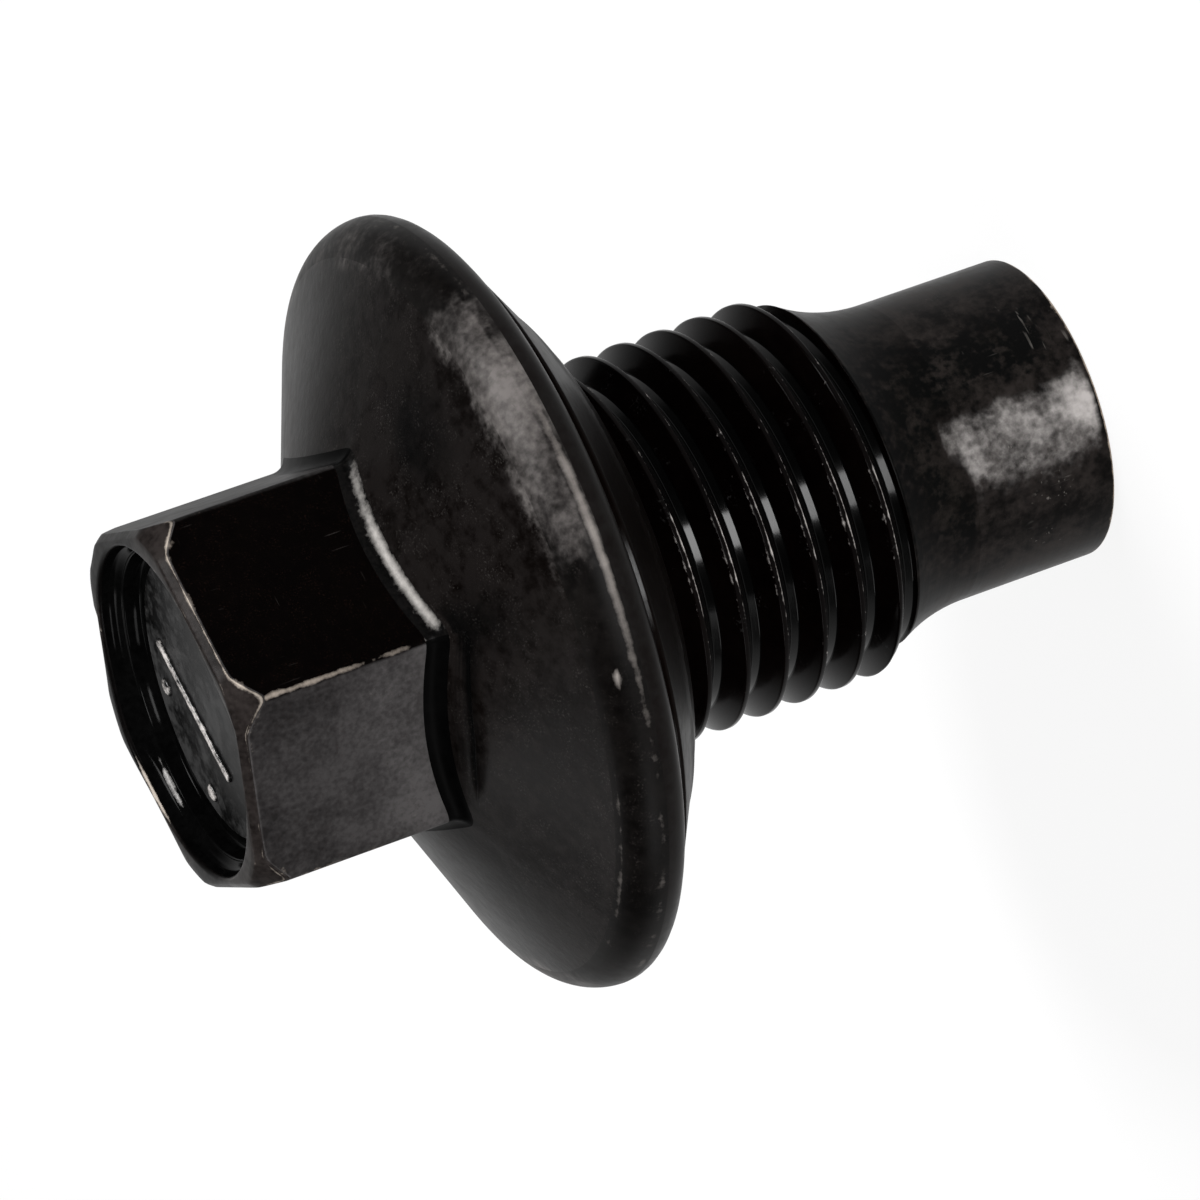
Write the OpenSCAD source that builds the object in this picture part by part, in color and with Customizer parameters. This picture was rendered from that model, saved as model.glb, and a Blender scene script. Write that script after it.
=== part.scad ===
// Oil drain plug: a forged hexagon head, a domed flange, a right-hand thread and a plain pilot,
// with a moulded seal held in a pocket under the flange.
// It stands on its pilot end, with its axis on +Z and the head up. All sizes are in millimetres.

/* [Shank] */
// Length of the shank, from the pilot's end to the flange's metal seat
shank_len = 21.1; // [18:0.1:30]
// Radial step from the plain pilot, which guides the plug into its hole, up to the thread's root
pilot_step = 0.545; // [0.2:0.005:1]
// Length of the plain pilot, from its end to the flare
pilot_len = 5.2; // [2:0.1:7]
// Bevel on the edge of the pilot's end
pilot_bevel = 0.1; // [0.05:0.05:0.6]
// Radius of the hollow flare between the pilot and the thread
flare_r = 6.5; // [4:0.25:10]
// Radial step from the thread's crests down to the plain neck under the flange
neck_step = 0.575; // [0.45:0.005:0.8]
// Length of that neck, down from the floor of the seal's pocket
neck_len = 2.6; // [1.6:0.1:3.5]

/* [Thread] */
// Diameter over the thread's crests
thread_d = 13.95; // [13.6:0.01:14]
// Height that one turn climbs
thread_pitch = 1.5; // [1.25:0.25:2]
// Turn of the thread about the axis, from the hexagon's corner on +X
thread_turn = 302.6; // [0:0.1:359.9]

/* [Flange] */
// Diameter of the flange
flange_d = 28; // [26:0.1:32]
// Radius of the rounding over the rim's top
rim_r = 1.7; // [1.2:0.1:2.6]
// Radius of the rounding under the rim, down to the metal seat
rim_under_r = 0.87; // [0.5:0.01:1.2]
// Slope of the flange's cone, from the plane of the seat
cone_angle = 26; // [15:1:32]

/* [Seal] */
// Radial width of the flat metal seat round the seal's pocket
seat_w = 0.67; // [0.5:0.01:1.2]
// Depth of the pocket that holds the seal
pocket_depth = 0.8; // [0.5:0.1:1.5]
// How far the free seal stands out below the metal seat
seal_proud = 2.75; // [1.6:0.05:2.8]
// Height of the seal's upright outer side below the metal seat
seal_side = 0.5; // [0.1:0.05:0.8]
// Slope of the seal's outer face, from the plane of the seat
seal_slope = 32.5; // [25:0.5:38]
// Radius of the seal's round nose
seal_nose_r = 2.2; // [1.6:0.1:2.4]
// Radial gap between the thread's crests and the seal's bore
seal_gap = 0.2; // [0.1:0.05:0.5]

/* [Head] */
// Size of the hexagon across its flats
hex_af = 12.8; // [12.2:0.05:14]
// Length of the hexagon's corners, from the head's end to the flange's cone
hex_len = 7.65; // [5:0.05:12]
// How far the hexagon's corners are rounded back
corner_wear = 0.05; // [0.02:0.01:0.15]
// Radial width of the bevel that cuts the hexagon's corners at the head's end
corner_bevel_w = 0.69; // [0.4:0.01:0.85]
// Slope of that bevel, from the plane of the head's end
corner_bevel_angle = 58; // [40:1:65]
// Width of the chamfer along the end of each flat
flat_edge_w = 0.23; // [0.1:0.01:0.3]
// Slope of that chamfer, from the plane of the head's end
flat_edge_angle = 52; // [35:1:60]
// Width of the head's end rim at the middle of a flat, from the recess to the chamfer
end_rim_w = 0.22; // [0.1:0.01:0.6]
// Depth of the ledge inside the recess
ledge_depth = 0.75; // [0.4:0.05:1]
// Radial width of that ledge
ledge_w = 0.32; // [0.2:0.02:0.8]
// Depth of the recess at its floor
recess_depth = 1.35; // [1.2:0.05:2.5]
// Draft of the recess's walls
recess_draft = 8; // [2:1:12]

/* [Hidden] */
$fn = 96;

// How far a cutting solid reaches past the face that it cuts
PAST = 1;

thread_r = thread_d / 2;
neck_r = thread_r - neck_step;
flange_r = flange_d / 2;
hex_corner_r = hex_af / sqrt(3);
// Distance from the axis to the end rim's outer edge, at the middle of a flat
end_flat_r = hex_af / 2 - flat_edge_w;
recess_r = end_flat_r - end_rim_w;

// Heights up the axis, from the pilot's end
seat_z = shank_len;
pocket_floor = seat_z + pocket_depth;
rim_z = seat_z + rim_under_r;
thread_top = pocket_floor - neck_len;

// The flange's cone runs from the rounding of the rim up to the hexagon's corners
cone_low_r = flange_r - rim_r + rim_r * sin(cone_angle);
cone_low_z = rim_z + rim_r * cos(cone_angle);
cone_top_z = cone_low_z + (cone_low_r - hex_corner_r) * tan(cone_angle);
cone_axis_z = cone_low_z + cone_low_r * tan(cone_angle);
head_z = cone_top_z + hex_len;

seal_outer_r = flange_r - rim_under_r - seat_w;
seal_bore_r = thread_r + seal_gap;
seal_low_z = seat_z - seal_proud;

// Thread groove: 60 degrees between its flanks, which end where the groove is a quarter of a pitch
// wide, and a root that is rounded a little deeper
crest_half = thread_pitch / 16;
flank_depth = 0.5413 * thread_pitch;
root_depth = 0.6134 * thread_pitch;
root_r = thread_r - root_depth;
pilot_r = root_r - pilot_step;
groove_start = pilot_len + flare_rise(root_r);
flare_top = pilot_len + flare_rise(thread_r);
TURN_STEPS = 48;
// How far the thread's skin is sunk inside the flare and the neck, where it starts and ends
SINK = 0.03;

// Height above the pilot at which the flare has grown to radius r
function flare_rise(r) = sqrt(flare_r ^ 2 - (flare_r - (r - pilot_r)) ^ 2);

// Radius of the flare at height z
function flare_at(z) = pilot_r + flare_r - sqrt(flare_r ^ 2 - max(0, z - pilot_len) ^ 2);

// Half of the section of the pilot and of the flare, up to where the thread's groove starts
module shank_section() {
    difference() {
        union() {
            polygon([
                [0, 0], [pilot_r - pilot_bevel, 0], [pilot_r, pilot_bevel],
                [pilot_r, pilot_len], [0, pilot_len],
            ]);
            translate([0, pilot_len - PAST]) square([root_r, groove_start - pilot_len + PAST]);
        }
        translate([pilot_r + flare_r, pilot_len]) circle(r = flare_r);
        translate([pilot_r, 0]) square([PAST, pilot_len]);
    }
}

// Half of the flange's section: rounded rim, cone, metal seat and the pocket for the seal
module flange_section() {
    difference() {
        union() {
            polygon([
                [0, seat_z], [flange_r - rim_under_r, seat_z], [flange_r - rim_under_r, rim_z],
                [flange_r - rim_r, rim_z], [cone_low_r, cone_low_z], [0, cone_axis_z],
            ]);
            intersection() {
                translate([flange_r - rim_r, rim_z]) circle(r = rim_r);
                translate([0, rim_z]) square([flange_r + PAST, rim_r + PAST]);
            }
            intersection() {
                translate([flange_r - rim_under_r, rim_z]) circle(r = rim_under_r);
                translate([0, seat_z]) square([flange_r + PAST, rim_under_r]);
            }
        }
        translate([neck_r, seat_z - PAST]) square([seal_outer_r - neck_r, pocket_depth + PAST]);
    }
}

// The hexagon: its flats end in narrow chamfers, and its corners are rounded back and cut by one
// steep turned bevel, which leaves a rounded hexagon as the head's end
module hex_head() {
    low_z = seat_z + PAST;
    worn_r = hex_corner_r - corner_wear;
    bevel_r = hex_corner_r - corner_bevel_w;
    intersection() {
        translate([0, 0, low_z]) cylinder(r = hex_corner_r, h = head_z - low_z, $fn = 6);
        translate([0, 0, low_z]) cylinder(
            r1 = (end_flat_r + (head_z - low_z) / tan(flat_edge_angle)) / cos(30),
            r2 = end_flat_r / cos(30), h = head_z - low_z, $fn = 6
        );
        rotate_extrude() polygon([
            [0, seat_z], [worn_r, seat_z],
            [worn_r, head_z - (worn_r - bevel_r) * tan(corner_bevel_angle)],
            [bevel_r, head_z], [0, head_z],
        ]);
    }
}

// Forged recess in the head's end: a drafted mouth, a ledge and a flat floor
module recess() {
    draft = tan(recess_draft);
    well_r = recess_r - ledge_depth * draft - ledge_w;
    rotate_extrude() polygon([
        [0, head_z - recess_depth],
        [well_r - (recess_depth - ledge_depth) * draft, head_z - recess_depth],
        [well_r, head_z - ledge_depth],
        [well_r + ledge_w, head_z - ledge_depth],
        [recess_r + PAST * draft, head_z + PAST],
        [0, head_z + PAST],
    ]);
}

// Largest radius of the thread's skin at height z: sunk inside the flare up to where the groove
// starts, then out along the flare to the crests, and by a bevel back inside the neck at the top
function skin_limit(z) = z < groove_start ? flare_at(z) - SINK
    : z < flare_top ? flare_at(z)
    : max(neck_r - SINK, thread_r - max(0, z - thread_top));

// Half width of the land between two grooves, wider where the limit keeps it low
function land_half(z) = min(0.34 * thread_pitch, crest_half + (thread_r - skin_limit(z)) * tan(30));

// One pitch of the thread's section about a crest at height z, as pairs of height and radius
function thread_form(z) = [
    [z - thread_pitch / 2, root_r],
    [z - thread_pitch * 3 / 8, thread_r - flank_depth],
    [z - land_half(z), thread_r],
    [z + land_half(z), thread_r],
    [z + thread_pitch * 3 / 8, thread_r - flank_depth],
];

// Skin over the right-hand thread: the section is carried up the helix, and each end is closed by
// a fan from the axis and by one flat step
module thread_skin() {
    low_z = groove_start - thread_pitch * 1.3;
    steps = ceil((thread_top + thread_pitch / 2 - low_z) / thread_pitch * TURN_STEPS);
    each_n = len(thread_form(0));
    function crest_z(n) = low_z + thread_pitch * (1 / 2 + n / TURN_STEPS);
    function on_helix(n, j) = let (
        p = thread_form(crest_z(n))[j],
        r = min(p[1], skin_limit(p[0])),
        a = thread_turn + 360 * crest_z(n) / thread_pitch
    ) [r * cos(a), r * sin(a), p[0]];
    // The last turn's upper line lies past the last step, after all the others
    function at(n, j) = j < each_n ? (n <= steps ? n * each_n + j : steps * each_n + each_n - 1 + n - steps)
        : at(n + TURN_STEPS, 0);
    points = concat(
        [for (n = [0 : steps], j = [0 : each_n - 1]) on_helix(n, j)],
        [for (n = [steps + 1 : steps + TURN_STEPS]) on_helix(n, 0)],
        [[0, 0, low_z + thread_pitch / 2], [0, 0, crest_z(steps)]]
    );
    low_axis = len(points) - 2;
    high_axis = len(points) - 1;
    sides = [for (n = [0 : steps - 1], j = [0 : each_n - 1]) each [
        [at(n, j), at(n, j + 1), at(n + 1, j + 1)],
        [at(n, j), at(n + 1, j + 1), at(n + 1, j)],
    ]];
    low_fan = [for (n = [0 : TURN_STEPS - 1]) [low_axis, at(n, 0), at(n + 1, 0)]];
    low_step = [concat([low_axis], [for (j = [each_n : -1 : 0]) at(0, j)])];
    high_fan = [for (n = [steps : steps + TURN_STEPS - 1]) [high_axis, at(n + 1, 0), at(n, 0)]];
    high_step = [concat([high_axis], [for (j = [0 : each_n]) at(steps, j)])];
    polyhedron(points, concat(sides, low_fan, low_step, high_fan, high_step), convexity = 20);
}

module plug_body() {
    color([0.11, 0.1, 0.1])
    difference() {
        union() {
            rotate_extrude() shank_section();
            thread_skin();
            translate([0, 0, thread_top]) cylinder(r = neck_r, h = neck_len + PAST / 2);
            rotate_extrude() flange_section();
            hex_head();
        }
        recess();
    }
}

// Moulded rubber: square back in the pocket, a sloping outer face and a round nose
module seal_ring() {
    slope_z = seat_z - seal_side;
    nose_z = seal_low_z + seal_nose_r;
    nose_r = seal_outer_r - (seal_nose_r + (slope_z - nose_z) * cos(seal_slope)) / sin(seal_slope);
    touch_r = nose_r + seal_nose_r * sin(seal_slope);
    touch_z = nose_z - seal_nose_r * cos(seal_slope);
    color([0.05, 0.05, 0.055])
    rotate_extrude() intersection() {
        polygon([
            [seal_bore_r, pocket_floor], [seal_outer_r, pocket_floor], [seal_outer_r, slope_z],
            [touch_r, touch_z], [touch_r, seal_low_z - PAST], [seal_bore_r, seal_low_z - PAST],
        ]);
        union() {
            translate([nose_r, nose_z]) circle(r = seal_nose_r);
            translate([0, touch_z]) square([seal_outer_r + PAST, pocket_floor - touch_z]);
        }
    }
}

plug_body();
seal_ring();
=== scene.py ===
import bmesh
import bpy
import numpy as np
from mathutils import Matrix, Vector


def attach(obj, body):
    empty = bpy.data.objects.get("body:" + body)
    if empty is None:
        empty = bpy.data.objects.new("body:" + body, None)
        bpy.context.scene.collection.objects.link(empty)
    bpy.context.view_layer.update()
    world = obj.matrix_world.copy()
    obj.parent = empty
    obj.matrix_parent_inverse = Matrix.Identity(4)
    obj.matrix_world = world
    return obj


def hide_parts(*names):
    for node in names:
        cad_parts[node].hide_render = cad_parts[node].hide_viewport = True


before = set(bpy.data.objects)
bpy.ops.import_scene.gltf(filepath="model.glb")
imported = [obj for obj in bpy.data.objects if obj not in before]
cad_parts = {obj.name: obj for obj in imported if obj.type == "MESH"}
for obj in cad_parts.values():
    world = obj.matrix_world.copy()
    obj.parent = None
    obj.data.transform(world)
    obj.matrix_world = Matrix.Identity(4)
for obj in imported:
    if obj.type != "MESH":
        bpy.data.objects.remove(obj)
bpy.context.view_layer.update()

MM = 0.001

# Sizes of the plug, in millimetres and degrees; a pair is a radius and a height.
# The head: its flats, its end, the recess in it and the fillet at its root
HEAD_Z = 33.906
FLATS = 12.8 / 2
CORNER_ROUND = 0.35
FLAT_END = FLATS - 0.23
FLAT_END_SLOPE = 52
CORNER_END = 6.70
CORNER_END_SLOPE = 58
END_SOFT = 0.045
END_EDGE = 0.08
END_EDGE_CORNER = 0.26
RECESS_R = 5.95
MOUTH_LIP = 0.15
WALL_FOOT = 0.19
LEDGE_DEPTH = 0.75
LEDGE_W = 0.32
LEDGE_CHAMFER = 0.2
LEDGE_ROUND = 0.07
WELL_ROUND = 0.16
RECESS_DEPTH = 1.35
RECESS_DRAFT = 8
ROOT_FILLET = 0.7

# The flange: its cone, its rounded rim and the seat and pocket under it
CONE_ANGLE = 26
CONE_LOW = (13.045, 23.498)
RIM_R = 1.7
RIM_C = (12.3, 21.97)
UNDER_R = 0.87
UNDER_C = (13.13, 21.97)
SEAT_Z = 21.1
SEAT_ROUND = 0.08
POCKET_R = 12.46
POCKET_Z = 21.9
POCKET_BEVEL = 0.1
NECK_R = 6.4

# The thread, the flare and the pilot
PITCH = 1.5
THREAD_R = 6.975
SHOULDER_R = THREAD_R - 0.5413 * PITCH
ROOT_R = THREAD_R - 0.6134 * PITCH
FLANK_ANGLE = 30
CREST_SOFT = 0.012
THREAD_TOP = 19.3
CREST_AT_ZERO = 0.239
PILOT_R = 5.51
PILOT_LEN = 5.2
FLARE_R = 6.5
FLARE_NEAR = 0.003
END_ROUND = 0.1

# The seal
SEAL_BORE = THREAD_R + 0.2
SEAL_SLOPE = 32.5
SEAL_SLOPE_TOP = 20.6
SEAL_NOSE = 2.2
SEAL_NOSE_C = (8.287, 20.55)
SEAL_EDGE = 0.1
FACET_OUT = 0.06
PARTING_DEPTH = 0.045


# Shapes
def column_angles(start):
    """Angles of the columns round the axis, over one turn from start, in degrees: in each sixth of
    a turn they stand close together beside the hexagon's corners and evenly between them."""
    beside = np.array([0, 0.345, 0.69, 1.035, 1.38])
    between = np.linspace(1.65, 58.35, 36)
    sixth = np.concatenate([beside, between, 60 - beside[:0:-1]])
    turns = np.arange(6)[:, None] * 60
    return np.append((start + turns + sixth[None, :]).ravel(), start + 360)


def hexagon_radius(theta, out=0.0):
    """Distance from the axis, at angle theta, to the hexagon's outline moved outwards by out:
    apothem over cosine on a flat, and on a corner the far crossing with the circle that
    rounds it."""
    local = (theta % 60) - 30
    flat = (FLATS + out) / np.cos(np.radians(local))
    centre = (FLATS - CORNER_ROUND) / np.cos(np.radians(30))
    psi = np.radians(30 - np.abs(local))
    inside = np.maximum((CORNER_ROUND + out) ** 2 - (centre * np.sin(psi)) ** 2, 0)
    corner = centre * np.cos(psi) + np.sqrt(inside)
    tangent = np.degrees(np.arctan((FLATS - CORNER_ROUND) * np.tan(np.radians(30)) / (FLATS + out)))
    return np.where(np.abs(local) > tangent, corner, flat)


def arc(r, z, radius, first, last, steps):
    """Rows of a circle about (r, z) from angle first to angle last, both in degrees."""
    a = np.radians(np.linspace(first, last, steps + 1))[:, None]
    r, z = np.atleast_1d(r)[None, :], np.atleast_1d(z)[None, :]
    return r + radius * np.cos(a), z + radius * np.sin(a)


def line(r0, z0, r1, z1, shares):
    """Rows on the straight line from (r0, z0) to (r1, z1), at the given shares of its length."""
    s = np.asarray(shares, float)
    s = s[:, None] if s.ndim == 1 else s
    r0, z0, r1, z1 = (np.atleast_1d(v)[None, :] for v in (r0, z0, r1, z1))
    return r0 + (r1 - r0) * s, z0 + (z1 - z0) * s


def per_row(*values):
    """The values as a column, one for each row of a surface."""
    return np.array(values, float)[:, None]


class Section:
    """Rows of a surface that goes round the axis, from the head's centre outwards and down. Each
    row holds a radius and a height at every column, a finish, a share of edge wear, which in
    places is a painted highlight, and a tone: rubbed or blackened steel, and in places painted
    light and painted shade."""

    def __init__(self, theta):
        self.theta = theta
        self.r, self.z, self.finish, self.wear, self.tone = [], [], [], [], []

    def add(self, rows, finish, wear=0.0, tone=0.0):
        """Adds rows. Finish is one word or one for each row; wear and tone are one value, a list
        with one for each row, or a grid."""
        n = len(self.theta)
        r, z = (np.broadcast_to(a, (len(a), n)) for a in rows)
        self.r.append(r)
        self.z.append(z)
        self.finish += list(np.broadcast_to(finish, len(r)))
        for kept, value in ((self.wear, wear), (self.tone, tone)):
            share = np.asarray(value, float)
            share = share[:, None] if share.ndim == 1 else share
            kept.append(np.broadcast_to(share, (len(r), n)))

    def follow(self, other):
        """Adds all the rows of another section after these."""
        for part in ("r", "z", "finish", "wear", "tone"):
            getattr(self, part).extend(getattr(other, part))

    def grid(self):
        """Radius, height, finish, wear and tone of all the rows, each as one array."""
        return (np.vstack(self.r), np.vstack(self.z), np.array(self.finish), np.vstack(self.wear),
                np.vstack(self.tone))


def bell(theta, middle, width):
    """A smooth hump round the axis, one high at its middle: the exponential of minus half the
    square of angle over width."""
    away = (theta - middle + 180) % 360 - 180
    return np.exp(-0.5 * (away / width) ** 2)


def smooth(value, low, high):
    """From 0 at low to 1 at high, as 3 s^2 - 2 s^3."""
    s = np.clip((value - low) / (high - low), 0, 1)
    return s * s * (3 - 2 * s)


def stretch(theta, first, last, ease):
    """One between two angles and nothing elsewhere, eased in and out over the given angle."""
    half = (last - first) / 2
    away = np.abs((theta - (first + last) / 2 + 180) % 360 - 180)
    return 1 - smooth(away, half - ease / 2, half + ease / 2)


def painted_face_light(theta):
    """Painted light and shade on the flats: how far each flat is lightened from black to grey,
    the flat from 0° to 60° lit grey and the one from 60° to 120° left black, eased across the
    corners.
    """
    tones = np.array([1.0, 0.0, 0.5, 0.35, 0.7, 0.3])
    sixth = (theta % 360) / 60
    here = np.floor(sixth).astype(int) % 6
    into = smooth(sixth - np.floor(sixth), 0.975, 1.0)
    return tones[here] * (1 - into) + tones[(here + 1) % 6] * into


def corner_wear(theta):
    """How far the hexagon's upright edges are rubbed: a narrow hump at each corner, by its own
    height."""
    heights = np.array([0.62, 0.95, 0.45, 0.4, 0.7, 0.5])
    nearest = np.round((theta % 360) / 60).astype(int)
    away = theta % 360 - nearest * 60
    return heights[nearest % 6] * np.exp(-(away / 1.1) ** 2)


def end_tone(theta):
    """How far the end rim is rubbed to a brownish grey: on one side of the head, and at two spots
    on the other."""
    spots = 0.7 * bell(theta, 205, 9) + 0.5 * bell(theta, 285, 12)
    return np.maximum(stretch(theta, -32, 128, 26), spots)


def band_tone(theta):
    """How far the flange's rounded rim is lightened: one long stretch, brightest near its middle,
    which is rubbed steel with a painted highlight, and some shorter rubbed ones."""
    bright = 0.47 * stretch(theta, 64, 109, 16) * (0.62 + 0.38 * smooth(theta, 68, 86))
    faint = 0.08 * stretch(theta, 105, 140, 20) + 0.16 * stretch(theta, 128, 176, 24)
    spots = 0.45 * bell(theta, 190, 12) + 0.7 * bell(theta, 235, 16) + 0.5 * bell(theta, 318, 13)
    return np.maximum(bright + 0.33 * bell(theta, 91, 5), faint + spots)


def pilot_tone(theta, z):
    """How far the pilot and the flare are lightened, or darkened where it is below nothing: a
    painted highlight down the pilot round 60°, brightest at its end; a fainter rubbed patch
    behind; painted shade in a stretch round 90°; and black up the flare, a dark finish all round
    with painted shade added round 40° to 70°."""
    foot = PILOT_LEN
    # Painted highlight round 60°, a rubbed patch round 228° and painted shade round 90°
    patch = 0.42 * bell(theta, 60, 12.5) + 0.5 * bell(theta, 60, 4.8) * (1 - smooth(z, 0.6, 2.0))
    patch = patch + 0.35 * bell(theta, 228, 14) - bell(theta, 90, 9) * smooth(z, 0.3, 1.2)
    low = 0.65 * bell(theta, 40, 14) * smooth(z, foot + 0.1, foot + 0.7)
    high = (0.1 + 0.5 * bell(theta, 70, 24)) * smooth(z, foot + 0.9, foot + 1.5)
    high = high + 0.2 * smooth(z, foot + 1.6, foot + 2.2)
    return patch * (1 - smooth(z, foot + 0.8, foot + 1.4)) - np.maximum(low, high)


def mouth_edge(theta):
    """Radius and height of the recess's worn mouth: widened on two sides and sunk on one."""
    sunk = bell(theta, 48, 12)
    return RECESS_R + 0.28 * sunk + 0.35 * bell(theta, -114, 11), HEAD_Z - 0.12 * sunk


def end_bruise(theta):
    """How far the end rim's outer edge stands out where knocks have spread it, or in where it is
    rubbed back."""
    back = theta % 360 - 360
    burr = 0.19 * smooth(back, -176, -165) * (1 - smooth(back, -158, -156.5))
    return 0.22 * bell(theta, -110, 11) + burr - 0.1 * bell(theta, 180, 6)


def end_drop(r, theta):
    """How far the worn end falls below its plane at (r, theta): a soft maximum of nothing, the
    chamfer along the flat and the turned bevel at the corner, each a straight slope in r."""
    across = r * np.cos(np.radians(theta % 60 - 30))
    bruise = end_bruise(theta)
    flat = (across - FLAT_END - bruise) * np.tan(np.radians(FLAT_END_SLOPE))
    corner = (r - CORNER_END - bruise) * np.tan(np.radians(CORNER_END_SLOPE))
    return END_SOFT * np.log(1 + np.exp(flat / END_SOFT) + np.exp(corner / END_SOFT))


def add_recess(s, theta):
    """The recess's floor, the well's wall, the ledge and the chamfer round the ledge, with a
    painted highlight along the chamfer round -91°.
    """
    draft = np.tan(np.radians(RECESS_DRAFT))
    floor_z = HEAD_Z - RECESS_DEPTH
    ledge_z = HEAD_Z - LEDGE_DEPTH
    ledge_r = RECESS_R - LEDGE_DEPTH * draft
    well_top = ledge_r - LEDGE_W
    well_foot = well_top - (RECESS_DEPTH - LEDGE_DEPTH) * draft

    # Each run of rows stops a little short of its corner, where a round or a chamfer takes over
    s.add(line(0, floor_z, well_foot - 0.2, floor_z, [0, .2, .4, .6, .75, .88, .96]), "floor")
    s.add(arc(well_foot - 0.14, floor_z + WELL_ROUND, WELL_ROUND, -90, -8, 5), "recess")
    wall = line(well_foot + 0.03, floor_z + 0.14, well_top, ledge_z - LEDGE_ROUND, [.06, .5, .94])
    s.add(wall, "recess")
    edge = arc(well_top + LEDGE_ROUND, ledge_z - LEDGE_ROUND, LEDGE_ROUND, 172, 90, 4)
    s.add(edge, "recess", 0.1)
    chamfer = line(ledge_r - LEDGE_CHAMFER, ledge_z, ledge_r, ledge_z + 0.9 * LEDGE_CHAMFER,
                   [-.08, .04, .5, .96])
    # Painted highlight along the chamfer round -91°, where it also mirrors a lamp
    s.add(chamfer, "recess", per_row(0, .5, .95, .5) * bell(theta, -91, 9))


def add_end(s, theta, hexr):
    """The recess's upper wall and the end rim: the rounded lip, level rows out to where the
    chamfers begin, rows down them and a round into each side. Gives the height where it ends."""
    mouth, lip_z = mouth_edge(theta)
    tone = end_tone(theta)[None, :]
    # The wall starts just above the ledge's chamfer, and a little outside it
    wall_r = RECESS_R - (LEDGE_DEPTH - 0.43) * np.tan(np.radians(RECESS_DRAFT))
    s.add(line(wall_r, HEAD_Z - LEDGE_DEPTH + WALL_FOOT, mouth, lip_z - 0.135, [.03, .5, .96]),
          "recess")
    a = np.radians(np.linspace(172, 90, 6))[:, None]
    # The lip is rubbed with the rim, and round -92° it carries a painted highlight
    lip_wear = np.maximum(per_row(0, 0, .3, .9, 1, 1) * tone, 1.7 * bell(theta, -92, 9))
    s.add((mouth + MOUTH_LIP * (1 + np.cos(a)), lip_z - MOUTH_LIP * (1 - np.sin(a))), "rim",
          per_row(.1, .6, 1, .6, .5, .3) * lip_wear, per_row(0, .2, .6, 1, 1, 1) * tone)

    turn = np.radians(90 - 0.5 * (FLAT_END_SLOPE + CORNER_END_SLOPE))
    from_corner = 30 - np.abs(theta % 60 - 30)
    round_r = END_EDGE + END_EDGE_CORNER * np.exp(-(from_corner / 8) ** 2)
    outer = hexr - round_r * (1 - np.cos(turn))
    edge = np.minimum(FLAT_END / np.cos(np.radians(theta % 60 - 30)), CORNER_END)
    edge = np.minimum(edge + end_bruise(theta), outer - 0.03)
    inner = mouth + MOUTH_LIP
    level = inner + (edge - 0.04 - inner) * per_row(.25, .6, 1)
    sink = (lip_z - HEAD_Z) * per_row(.8, .4, .1)
    s.add((level, HEAD_Z + sink - end_drop(level, theta)), "rim", 0.2, tone)
    down = edge + (outer - edge) * per_row(0, .06, .14, .35, .65, .9, 1)
    down_z = HEAD_Z - end_drop(down, theta)
    s.add((down, down_z), "bevel", per_row(.45, .4, .2, .15, .2, .4, .6) * tone, tone)
    centre_z = down_z[-1] - round_r * np.sin(turn)
    edge_wear = 0.42 + 0.5 * stretch(theta, 56, 122, 12)
    s.add(arc(hexr - round_r, centre_z, round_r, np.degrees(turn) * 0.75, 0, 4), "bevel",
          per_row(.7, .95, 1, .9, .5) * edge_wear, tone)
    return centre_z


def add_flats(s, theta, hexr, top_z):
    """The flats from top_z down, and the fillet at their root, which bends outwards until it lies
    on the cone. Gives the radius and the height of the fillet's last row."""
    sine, cosine = np.sin(np.radians(CONE_ANGLE)), np.cos(np.radians(CONE_ANGLE))
    raised = sine * CONE_LOW[0] + cosine * CONE_LOW[1] + ROOT_FILLET
    root_z = (raised - sine * hexagon_radius(theta, ROOT_FILLET)) / cosine
    bend = np.radians(np.linspace(0, 90 - CONE_ANGLE, 13))[:, None]
    bend_r = hexagon_radius(theta[None, :], ROOT_FILLET * (1 - np.cos(bend)))
    bend_z = root_z - ROOT_FILLET * np.sin(bend)
    worn = np.maximum(per_row(.4, .1, 0, 0, 0, 0) * end_tone(theta),
                      per_row(1, 1, .9, .7, .5, .4) * corner_wear(theta))
    # Painted light on the flats: each flat's own grey, strongest towards its root
    s.add(line(hexr, top_z, hexr, root_z, [.012, .05, .3, .6, .9, .985]), "flats", worn,
          per_row(.46, .46, .46, .54, .9, 1) * painted_face_light(theta))
    # Painted highlight: a bright line along the fillet on two opposite sides, over rubbed steel
    rubbed = stretch(theta, 63, 117, 6) * (1 - 0.45 * smooth(theta % 360, 92, 108))
    rubbed = rubbed + 0.7 * stretch(theta, 243, 297, 8)
    s.add((bend_r, bend_z), "fillet",
          per_row(0, 0, 0, .05, .15, .35, .65, .95, 1, .9, .65, .4, .2) * rubbed)
    return bend_r[-1], bend_z[-1]


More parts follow.
